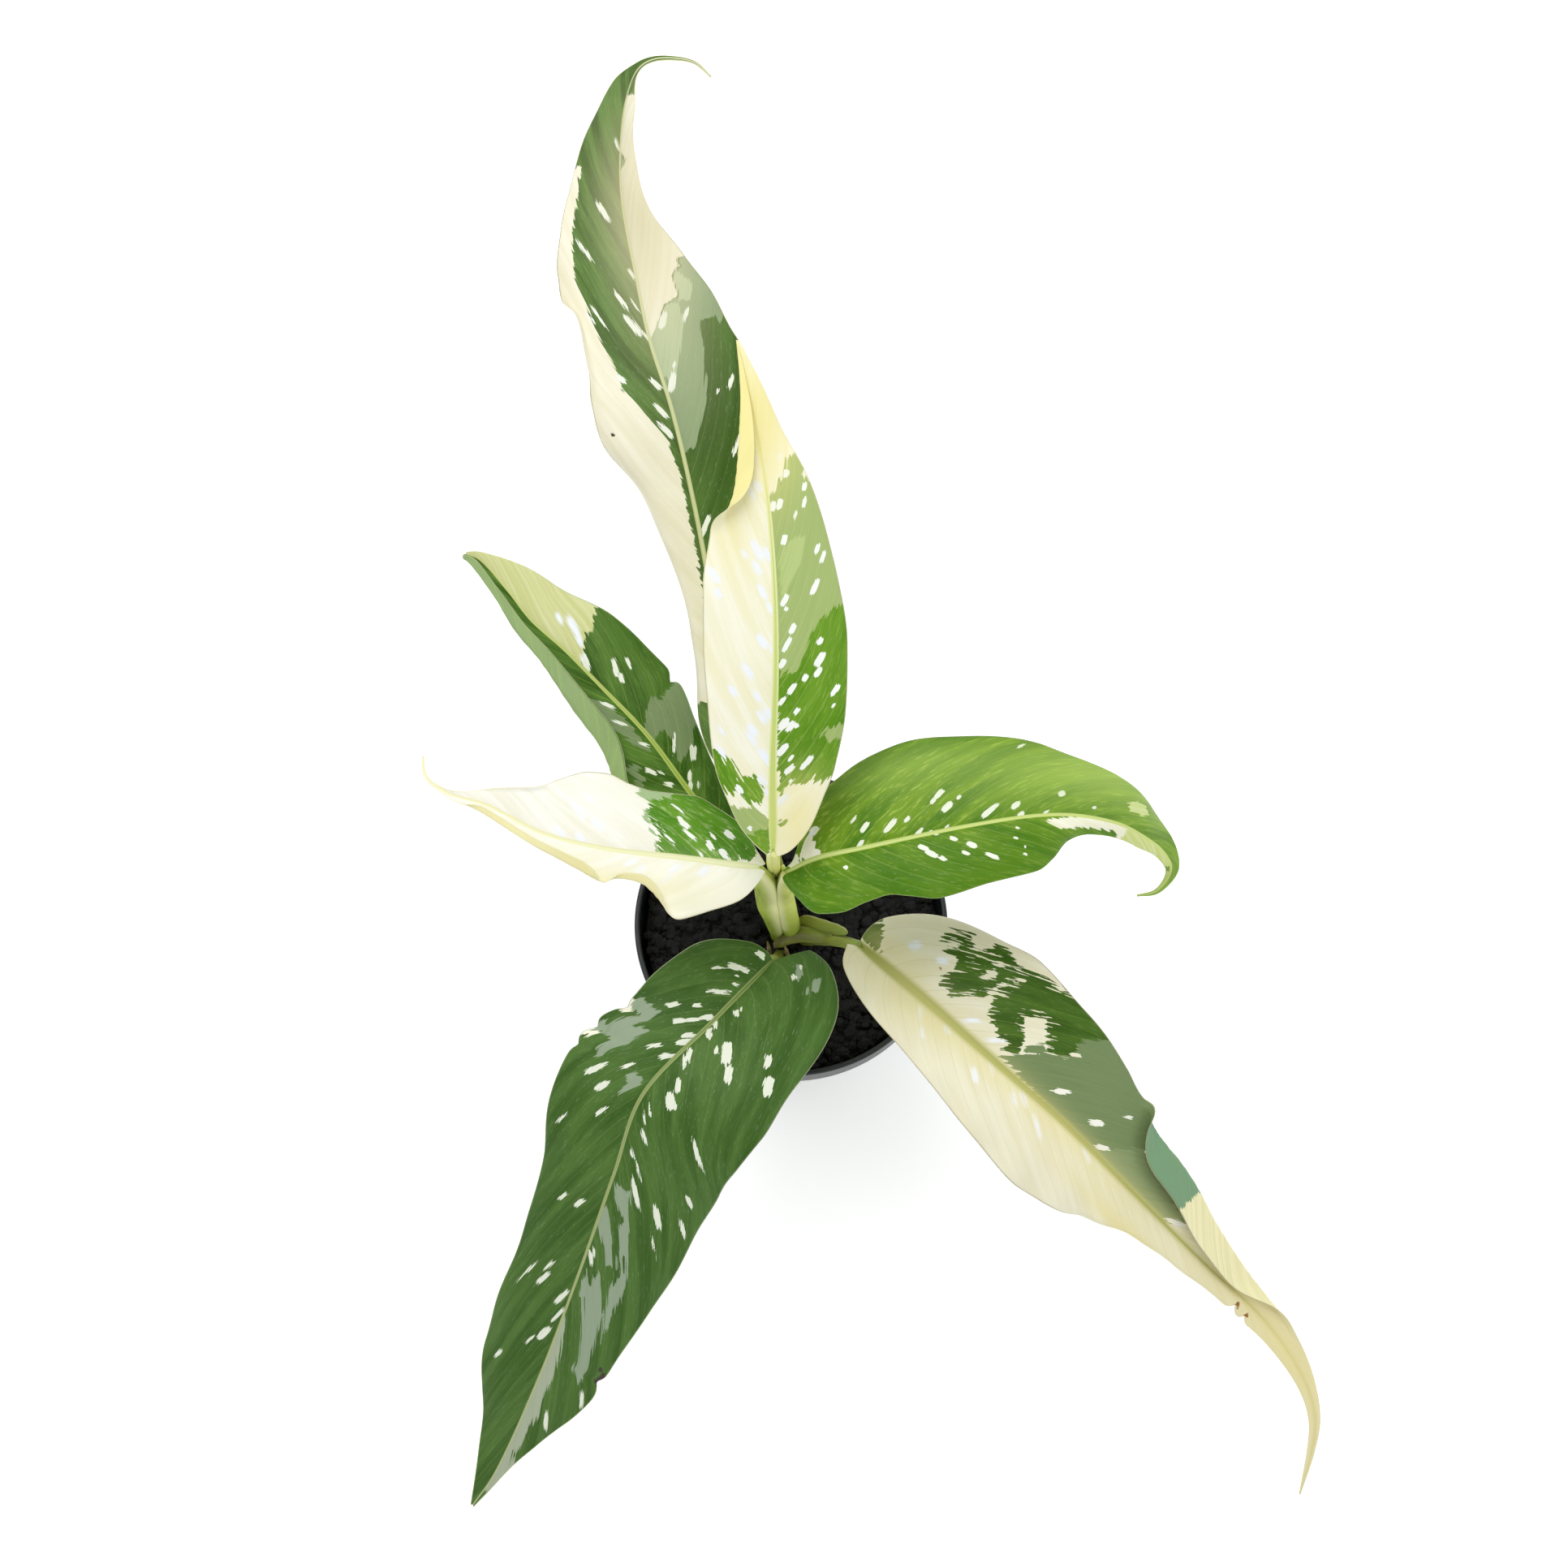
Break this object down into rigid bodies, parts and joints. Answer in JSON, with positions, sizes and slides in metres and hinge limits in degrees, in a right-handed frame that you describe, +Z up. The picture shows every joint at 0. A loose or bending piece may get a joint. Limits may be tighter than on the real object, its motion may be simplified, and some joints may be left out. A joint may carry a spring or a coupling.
{
  "type": "potted variegated dumb cane",
  "caption": "Young variegated dumb cane with long arching cream and green leaves on clasping stalks, in a round black nursery pot of dark grit.",
  "frame": {"origin": "middle of the pot's flat underside", "axes": "+Z up along the pot's axis, +Y toward the long back leaf and away from the viewer, +X to the viewer's right"},
  "size_m": [0.3348, 0.5093, 0.2926],
  "materials": {
    "pot": "smooth moulded black-blue plastic, satin",
    "mix": "loose dark grit of bark and char, matt",
    "cane": "green fleshy stem, satin",
    "stalk": "pale green fleshy stalk, satin",
    "olive_stalk": "olive green fleshy stalk, satin",
    "dark_blade": "dark green leaf with cream and grey-green patches, waxy",
    "bright_blade": "bright green leaf with pale flecks, waxy",
    "cream_blade": "cream leaf with green and grey-green patches, waxy",
    "dry_sheath": "dry torn brown leaf sheath, matt"
  },
  "bodies": {
    "root": {"pot": "pot", "potting_mix": "mix", "cane": "cane", "petiole_back": "olive_stalk", "petiole_newest": "stalk", "petiole_back_left": "olive_stalk", "petiole_left": "stalk", "petiole_right": "stalk", "petiole_front_right": "olive_stalk", "petiole_front_left": "olive_stalk", "leaf_back": "dark_blade", "leaf_newest": "cream_blade", "leaf_back_left": "dark_blade", "leaf_left": "cream_blade", "leaf_right": "bright_blade", "leaf_front_right": "cream_blade", "leaf_front_left": "dark_blade", "dry_sheath_left": "dry_sheath", "dry_sheath_right": "dry_sheath"}
  },
  "joints": []
}
